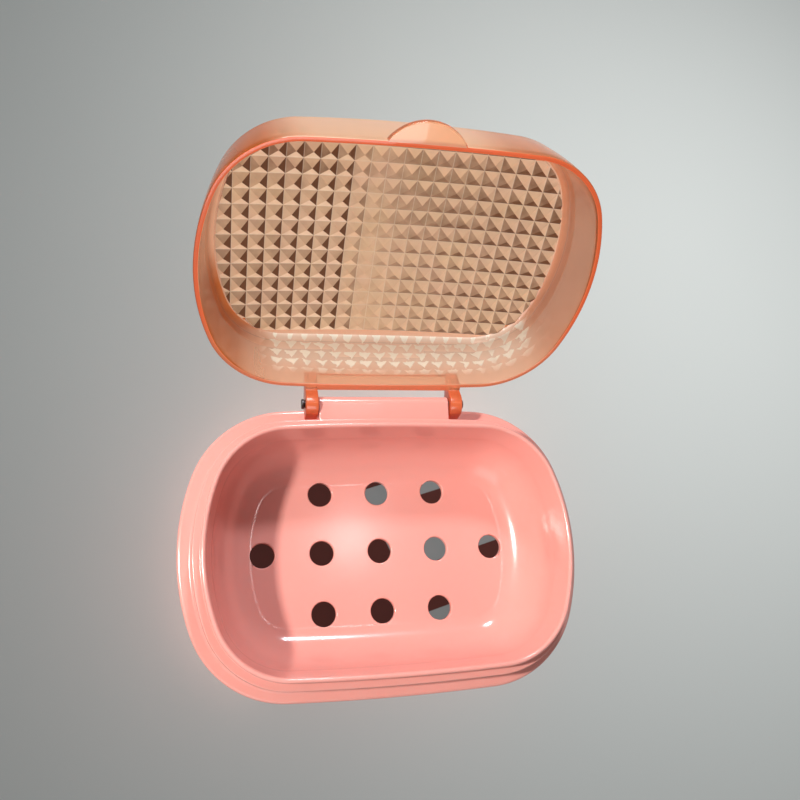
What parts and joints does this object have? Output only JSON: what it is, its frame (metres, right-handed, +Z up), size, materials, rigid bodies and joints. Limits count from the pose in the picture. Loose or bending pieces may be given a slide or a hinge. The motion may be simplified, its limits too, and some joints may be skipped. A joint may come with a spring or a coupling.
{
  "type": "soap dish",
  "caption": "Flip-lid soap box: an opaque draining tray and a clear lid with a faceted roof on a rear hinge, stored with the lid open.",
  "frame": {"origin": "under the middle of the bounding box of the open soap box, at the height that it stands on", "axes": "+Z up, +Y from the tray towards the hinge and the open lid, +X along the hinge axis"},
  "size_m": [0.114, 0.1383, 0.0899],
  "materials": {
    "base_plastic": "glossy opaque coral pink",
    "lid_plastic": "clear, peach tinted, polished",
    "pin_steel": "dark, plain"
  },
  "bodies": {
    "base": {"base": "base_plastic", "hinge_pin_left": "pin_steel", "hinge_pin_right": "pin_steel"},
    "lid": {"lid": "lid_plastic"}
  },
  "joints": [
    {"name": "lid_hinge", "type": "hinge", "parent": "base", "child": "lid", "pos_m": [0, 0.01059, 0.0232], "axis": [1, 0, 0], "range_deg": [0, 123.6]}
  ]
}
